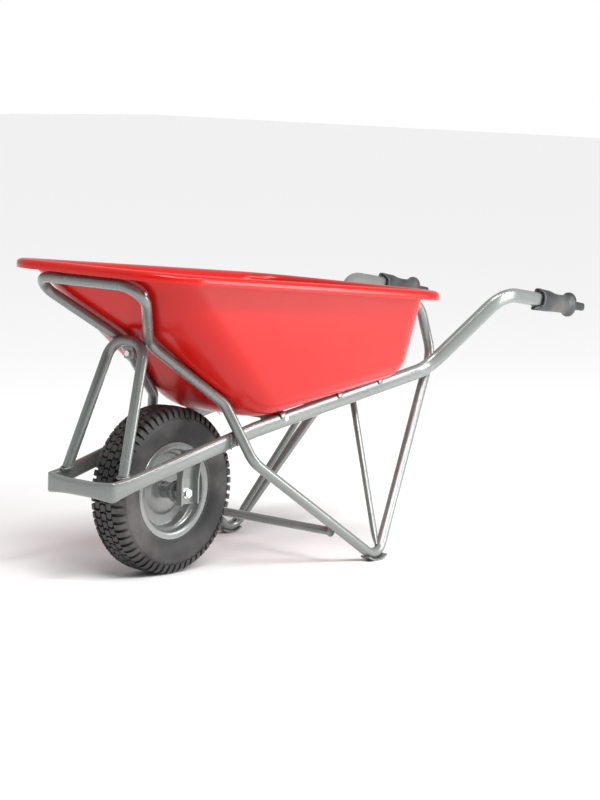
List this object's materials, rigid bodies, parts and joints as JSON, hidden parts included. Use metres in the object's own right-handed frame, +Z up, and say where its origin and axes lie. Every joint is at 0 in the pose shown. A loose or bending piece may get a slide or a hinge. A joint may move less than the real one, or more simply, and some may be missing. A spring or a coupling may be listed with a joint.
{
  "type": "wheelbarrow",
  "caption": "Wheelbarrow: a deep moulded plastic tub on a folded steel tube frame, with a pneumatic front wheel, splayed tube legs and rubber hand grips.",
  "frame": {"origin": "on the ground, under the middle of the barrow's length and width, where it stands on its wheel and two feet", "axes": "+X towards the hand grips, +Y towards the right hand of a person who pushes it, +Z up"},
  "size_m": [1.5814, 0.628, 0.7273],
  "materials": {
    "frame_paint": "satin powder coat, grey with a slight green cast",
    "tub_plastic": "glossy moulded polypropylene, bright red",
    "tyre_rubber": "matt black tyre rubber",
    "tube_rubber": "plain black butyl rubber",
    "rim_paint": "silver grey gloss paint on pressed sheet",
    "zinc_steel": "bright zinc plate",
    "grip_rubber": "dark grey moulded rubber, slightly satin"
  },
  "bodies": {
    "frame": {"axle_bolt": "zinc_steel", "axle_nut": "zinc_steel", "front_bumper": "frame_paint", "front_cross_bar": "frame_paint", "front_hoop": "frame_paint", "hoop_bolt": "zinc_steel", "hoop_nut": "zinc_steel", "hoop_tab": "frame_paint", "left_axle_bracket": "frame_paint", "left_axle_spacer": "zinc_steel", "left_axle_washer": "zinc_steel", "left_grip": "grip_rubber", "left_rail": "frame_paint", "left_side_tube": "frame_paint", "left_skid_plate": "frame_paint", "left_stay": "frame_paint", "leg_brace": "frame_paint", "middle_cross_bar": "frame_paint", "rear_cross_bar": "frame_paint", "right_axle_bracket": "frame_paint", "right_axle_spacer": "zinc_steel", "right_axle_washer": "zinc_steel", "right_grip": "grip_rubber", "right_rail": "frame_paint", "right_side_tube": "frame_paint", "right_skid_plate": "frame_paint", "right_stay": "frame_paint", "tub": "tub_plastic", "tub_bolt_1": "zinc_steel", "tub_bolt_2": "zinc_steel", "tub_bolt_3": "zinc_steel", "tub_bolt_4": "zinc_steel", "tub_nut_1": "zinc_steel", "tub_nut_2": "zinc_steel", "tub_nut_3": "zinc_steel", "tub_nut_4": "zinc_steel"},
    "wheel": {"tyre": "tyre_rubber", "inner_tube": "tube_rubber", "left_rim_half": "rim_paint", "right_rim_half": "rim_paint", "hub_tube": "rim_paint", "left_bearing": "zinc_steel", "right_bearing": "zinc_steel", "valve_stem": "tube_rubber"}
  },
  "joints": [
    {"name": "wheel_spin", "type": "hinge", "parent": "frame", "child": "wheel", "pos_m": [-0.50567, 0, 0.195], "axis": [0, 1, 0], "continuous": true}
  ]
}
